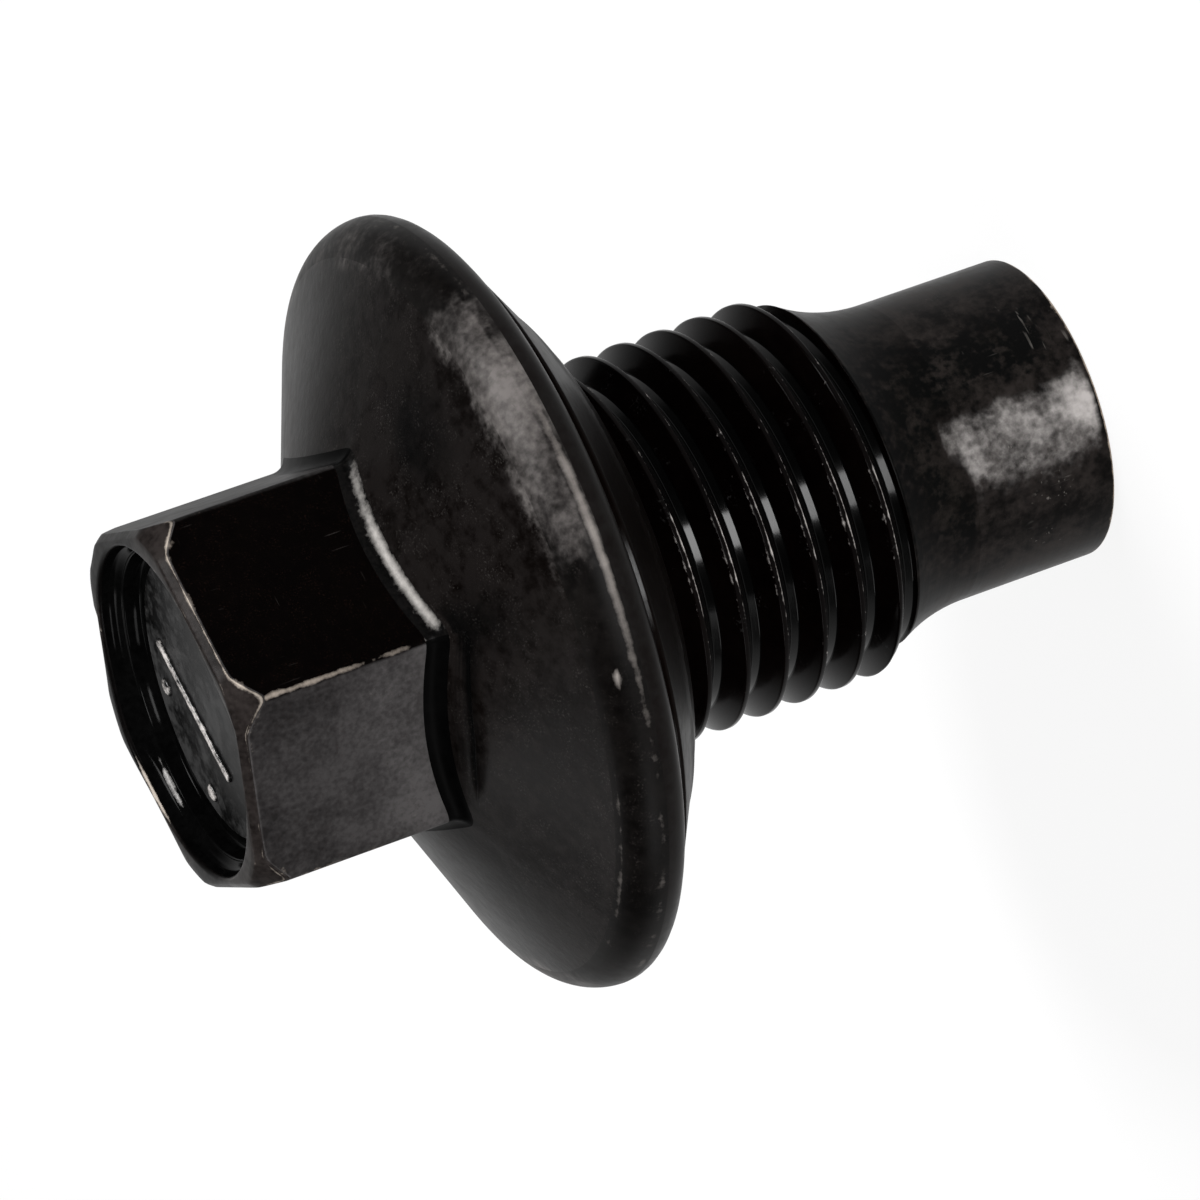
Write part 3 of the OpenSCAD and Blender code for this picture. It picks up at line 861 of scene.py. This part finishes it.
STEELS = [
    # The flats' tone colour is the grey of the painted light on the lit flats
    steel("flats", (0.0003, 0.0001, 0.0001), (0.0009, 0.0005, 0.0004), (0.24, 0.205, 0.175),
          level=0.010, rough=(0.34, 0.46), bump=(0.2, 0.01), wear=(1300, 0.8, 0.5, 1.1),
          tone=((0.052, 0.049, 0.049), 420, 5200, 0.5, 0.1),
          speck=(17000, 2400, 0.42, 0.25, (0.016, 0.008, 0.006)),
          scratch=(0.37, 1.0, 0.18, (0.10, 0.09, 0.085))),
    steel("floor", grey(0.001), grey(0.030), (0.14, 0.13, 0.12),
          level=0.045, rough=(0.3, 0.5), bump=(0.3, 0.02), mottle=(300, 2200, 0.4),
          span=(0.43, 0.60), speck=(14000, 1800, 0.48, 0.25, (0.1, 0.09, 0.085))),
    steel("recess", grey(0.0006), grey(0.0018), (0.42, 0.41, 0.40),
          level=0.02, rough=(0.10, 0.15), bump=(0.05, 0.01), mottle=(700, 4000, 0.5),
          wear=(2600, 0.7, 0.5, 1.1)),
    steel("rim", (0.0006, 0.0005, 0.0005), (0.002, 0.0016, 0.0015), (0.34, 0.30, 0.26),
          wear=(1600, 0.8, 0.5, 1.15), tone=((0.016, 0.0135, 0.0125), 900, 5000, 0.2, 0.15),
          **RIM_LOOK),
    steel("bevel", (0.0008, 0.0005, 0.0004), (0.0026, 0.0017, 0.0014), (0.40, 0.35, 0.30),
          wear=(1300, 0.8, 0.55, 1.25), tone=((0.018, 0.015, 0.014), 900, 5000, 0.2, 0.15),
          **RIM_LOOK),
    steel("fillet", grey(0.0004), grey(0.0014), (0.14, 0.13, 0.12),
          level=0.009, rough=(0.35, 0.45), bump=(0.25, 0.015), rings=7000),
    # The fillet's brightened finish: rubbed steel carrying a painted highlight
    steel("fillet_rubbed", grey(0.001), (0.004, 0.0036, 0.0034), (0.30, 0.285, 0.27),
          level=0.03, rough=(0.3, 0.38), bump=(0.5, 0.02), mottle=(1800, 7000, 0.6),
          wear=(3600, 0.6, 0.15, 1.2)),
    steel("cone", (0.0010, 0.0005, 0.0003), (0.0053, 0.0043, 0.0040), (0.16, 0.14, 0.13),
          level=0.043, rough=(0.34, 0.44), bump=(0.9, 0.03), mottle=(170, 1700, 0.5),
          span=(0.42, 0.58), tone=((0.10, 0.092, 0.088), 600, 3400, 0.4, 0.45),
          black=(700, 4000, 0.25), speck=(13000, 1100, 0.43, 0.4, (0.035, 0.032, 0.030))),
    # The band's tone colour serves rubbed steel and the painted highlight on the rim
    steel("band", (0.0008, 0.0006, 0.0005), (0.0036, 0.0030, 0.0027), (0.205, 0.185, 0.172),
          level=0.045, rough=(0.38, 0.5), bump=(0.3, 0.01), mottle=(400, 2000, 0.5),
          wear=(1500, 0.5, 0.3, 1.3), tone=((0.105, 0.096, 0.092), 560, 3400, 0.6, 0.32),
          speck=(13000, 1500, 0.48, 0.25, (0.04, 0.034, 0.032))),
    steel("seat", (0.002, 0.0012, 0.0010), (0.005, 0.0045, 0.0042), (0.22, 0.21, 0.20),
          level=0.05, rough=(0.3, 0.45), bump=(0.15, 0.01), mottle=(500, 2600, 0.5), rings=4000),
    steel("thread", (0.0005, 0.0002, 0.0002), (0.0014, 0.0008, 0.0007), (0.36, 0.335, 0.32),
          level=0.032, rough=(0.14, 0.22), bump=(0.06, 0.01), wear=(2400, 0.95, 0.5, 1.15),
          speck=(9000, 900, 0.60, 0.2, grey(0.10))),
    steel("thread_root", grey(0.0003), grey(0.0008), (0.14, 0.13, 0.125),
          level=0.09, rough=(0.10, 0.15), bump=(0.03, 0.01)),
    steel("flare", (0.0006, 0.0004, 0.0003), (0.0095, 0.0078, 0.0070), (0.14, 0.13, 0.125),
          level=0.03, rough=(0.3, 0.42), **PILOT_LOOK),
    steel("pilot", (0.0006, 0.0004, 0.0003), (0.0125, 0.0102, 0.0092), (0.28, 0.235, 0.19),
          level=0.04, rough=(0.3, 0.44), wear=(1800, 0.7, 0.5, 1.0),
          speck=(14000, 1300, 0.52, 0.2, (0.04, 0.034, 0.032)),
          scratch=(0.38, 1.0, 0.4, (0.14, 0.13, 0.12)), **PILOT_LOOK),
    steel("mark", grey(0.004), grey(0.010), (0.5, 0.47, 0.45),
          level=0.2, rough=(0.15, 0.25), bump=(0.1, 0.01), wear=(3600, 0.9, 0.3, 0.8)),
]


def rubber():
    """Moulded black rubber: nearly even, with a faint cloud in its gloss, glossier on the facet
    beside the rim, with a painted highlight on the facet round 61°, and greyed along the parting
    line."""
    m = bpy.data.materials.new("seal_rubber")
    m.use_nodes = True
    t = m.node_tree
    bsdf = t.nodes["Principled BSDF"]
    cloud = use(t, MOTTLE, Coarse=240.0, Fine=2600.0, Fine_Share=0.5)
    colour = mix_colour(t, cloud, (0.0008, 0.0004, 0.0003), (0.0022, 0.0013, 0.0010))
    # The grey of the painted highlight on the facet and of the parting line
    rubbed = use(t, EDGE_WEAR, Grain=1200.0, Break_Up=0.4, Low=0.45, High=1.0)
    t.links.new(mix_colour(t, rubbed, colour, grey(0.09)), bsdf.inputs["Base Color"])
    facet = put(t, "ShaderNodeAttribute", attribute_name="tone").outputs["Fac"]
    gloss = maths(t, "MULTIPLY", facet, 0.24)
    dull = ramp(t, cloud, 0.3, 0.7, 0.34, 0.46)
    t.links.new(maths(t, "SUBTRACT", dull, gloss), bsdf.inputs["Roughness"])
    bsdf.inputs["Specular IOR Level"].default_value = 0.025
    return m


# The pieces. The columns start at a corner on the far side, where the thread's rows begin
columns = column_angles(-120.0)
body = head_section(columns)
body.follow(shank_section(columns))
plug = turned_mesh("plug", columns, body, STEELS[:-1])
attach(plug, "root")
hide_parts("plug_body")

# In the recess: one straight bar and two round pips, raised by the forging die
MARK_HEIGHT = 0.13
for label, first, last, width in (("bar", (-3.45, -1.67), (2.29, -1.59), 0.36),
                                  ("pip_left", (-2.55, -3.2), (-2.45, -3.2), 0.6),
                                  ("pip_right", (1.45, -4.0), (1.55, -4.0), 0.6)):
    raised = mound("recess_" + label, first, last, width, MARK_HEIGHT, HEAD_Z - RECESS_DEPTH,
                   STEELS[-1])
    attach(raised, "root")


def seal_section(theta):
    """The seal's section as one closed loop: back in the pocket, outer side, facet, slope with
    the parting line, nose, bore."""
    s = Section(theta)
    back, outer, top_z = POCKET_Z - 0.02, POCKET_R - 0.03, SEAL_SLOPE_TOP
    turn = np.radians(SEAL_SLOPE)
    nose_r, nose_z = SEAL_NOSE_C
    foot_r = nose_r + SEAL_NOSE * np.sin(turn)
    foot_z = nose_z - SEAL_NOSE * np.cos(turn)
    s.add(line(SEAL_BORE, back, outer - 0.1, back, [0, .5, 1]), "seal")
    s.add(line(outer, back - 0.1, outer, SEAT_Z, [0, 1]), "seal")
    facet = line(outer, top_z + 0.3, outer + FACET_OUT, top_z + 0.075, [0, .08, .5, .92, 1])
    # Painted highlight along the facet round 61°
    s.add(facet, "seal", 0.75 * bell(theta, 61, 5)[None, :], 1.0)
    edge_r, edge_z = outer - 0.04, top_z + 0.05
    s.add(arc(edge_r, edge_z, SEAL_EDGE, 12, -90 + SEAL_SLOPE, 6), "seal", 0.0,
          [.8, .4, 0, 0, 0, 0, 0])
    slope_r, slope_z = line(edge_r + SEAL_EDGE * np.sin(turn), edge_z - SEAL_EDGE * np.cos(turn),
                            foot_r, foot_z, [.06, .3, .6, .74, .78, .81, .84, .88, 1])
    parting = per_row(0, 0, 0, 0, .8, 1, .8, 0, 0)
    s.add((slope_r, slope_z - PARTING_DEPTH * parting), "seal", 0.45 * parting)
    s.add(arc(nose_r, nose_z, SEAL_NOSE, -90 + SEAL_SLOPE, -118, 12), "seal")
    s.add(line(SEAL_BORE + 0.03, 18.64, SEAL_BORE, 18.75, [0, 1]), "seal")
    s.add(line(SEAL_BORE, 19.2, SEAL_BORE, 21.5, [0, .5, 1]), "seal")
    return s


ring_columns = np.linspace(0, 360, 241)
seal = turned_mesh("seal", ring_columns, seal_section(ring_columns), [rubber()], close_loop=True)
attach(seal, "root")
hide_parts("seal_ring")


# Floor, light and camera
def seen_directly(tree):
    """One for camera rays, then one for camera, glossy and transmission rays."""
    path = put(tree, "ShaderNodeLightPath")
    camera_ray = path.outputs["Is Camera Ray"]
    seen = maths(tree, "MAXIMUM", camera_ray, path.outputs["Is Glossy Ray"])
    return camera_ray, maths(tree, "MAXIMUM", seen, path.outputs["Is Transmission Ray"])


# The camera's place, and its axes as unit vectors: right, down and ahead in the picture
CAMERA_AT = Vector((0.10845731354, 0.22752798602, 0.1058890165))
RIGHT = Vector((0.43407046, 0.13900637, -0.89008992))
DOWN = Vector((0.80620913, -0.50083356, 0.31494853))
AHEAD = Vector((-0.40200705, -0.85430848, -0.32946525))

# Strength of the dark room as it is mirrored, and of the even grey that lights the plug
ROOM = 0.08
SKY = 0.35


def make_world():
    """A studio: a white backdrop behind the plug, seen by the camera and in reflections, a dark
    room over it and in front of it, and an even grey for all other rays."""
    world = bpy.data.worlds.new("studio")
    bpy.context.scene.world = world
    world.use_nodes = True
    t = world.node_tree
    bg = t.nodes["Background"]
    way = put(t, "ShaderNodeTexCoord").outputs["Generated"]
    across = put(t, "ShaderNodeVectorMath", [(0, way)], operation="DOT_PRODUCT")
    across.inputs[1].default_value = Vector((AHEAD.x, AHEAD.y, 0)).normalized()
    backdrop = ramp(t, across.outputs["Value"], 0.6, 0.97, ROOM, 1.0)
    camera_ray, seen = seen_directly(t)
    mirrored = maths(t, "MAXIMUM", camera_ray, backdrop)
    strength = put(t, "ShaderNodeMix", [(0, seen), (3, mirrored)], in_2=SKY)
    bg.inputs["Color"].default_value = (1, 1, 1, 1)
    t.links.new(strength.outputs[0], bg.inputs["Strength"])


def make_floor():
    """A level white floor. What is seen of it directly or mirrored is most of the way to plain
    white, and the rest of it takes light and shadow."""
    mesh = bpy.data.meshes.new("floor")
    far = 3.0
    corners = [(-far, -far, 0), (far, -far, 0), (far, far, 0), (-far, far, 0)]
    mesh.from_pydata(corners, [], [(0, 1, 2, 3)])
    floor = bpy.data.objects.new("floor", mesh)
    bpy.context.scene.collection.objects.link(floor)
    m = bpy.data.materials.new("floor_white")
    m.use_nodes = True
    t = m.node_tree
    bsdf = t.nodes["Principled BSDF"]
    bsdf.inputs["Base Color"].default_value = (0.8, 0.8, 0.8, 1)
    bsdf.inputs["Roughness"].default_value = 0.9
    bsdf.inputs["Specular IOR Level"].default_value = 0.0
    glow = put(t, "ShaderNodeEmission", in_Color=(1, 1, 1, 1))
    share = maths(t, "MULTIPLY", seen_directly(t)[1], 0.85)
    mix = put(t, "ShaderNodeMixShader", [(0, share), (1, bsdf.outputs[0]), (2, glow.outputs[0])])
    t.links.new(mix.outputs[0], t.nodes["Material Output"].inputs["Surface"])
    mesh.materials.append(m)


def make_camera():
    """The photograph's camera: a long lens close to the plug, turned on its side."""
    data = bpy.data.cameras.new("camera")
    data.sensor_width = 36.0
    data.lens = 230.4507
    data.clip_start = 0.01
    data.clip_end = 20.0
    camera = bpy.data.objects.new("camera", data)
    bpy.context.scene.collection.objects.link(camera)
    turn = Matrix((RIGHT, -DOWN, -AHEAD)).transposed().to_4x4()
    camera.matrix_world = Matrix.Translation(CAMERA_AT) @ turn
    bpy.context.scene.camera = camera


LAMP_DISTANCE = 0.6
LAMP_AIM = Vector((0, 0, 0.018))


def area_lamp(name, toward, size, strength):
    """A rectangular lamp that faces the aim point from the given direction, with its height
    upright. Its strength is its radiance, so its power is radiance x pi x area."""
    data = bpy.data.lights.new(name, "AREA")
    data.shape = "RECTANGLE"
    data.size, data.size_y = size
    data.energy = strength * np.pi * size[0] * size[1]
    lamp = bpy.data.objects.new(name, data)
    bpy.context.scene.collection.objects.link(lamp)
    way = Vector(toward).normalized()
    side = Vector((0, 0, 1)).cross(way).normalized()
    turn = Matrix((side, way.cross(side), way)).transposed().to_4x4()
    lamp.matrix_world = Matrix.Translation(LAMP_AIM + way * LAMP_DISTANCE) @ turn


def turned_to(azimuth, elevation):
    """The direction at an angle round the axis and an angle above the floor, both in degrees."""
    a, e = np.radians([azimuth, elevation])
    return np.cos(e) * np.cos(a), np.cos(e) * np.sin(a), np.sin(e)


make_world()
make_floor()
make_camera()
# Name, direction, width and height in metres, and radiance
area_lamp("front", turned_to(55, 11), (0.24, 0.11), 35.7)
area_lamp("side", turned_to(-7, 11), (0.31, 0.11), 12.0)
area_lamp("over", (-0.40, 0.40, 0.82), (0.18, 0.20), 34.0)
area_lamp("back", (0.08, -0.58, 0.81), (0.22, 0.22), 4.5)

bpy.context.scene.view_settings.view_transform = "Standard"
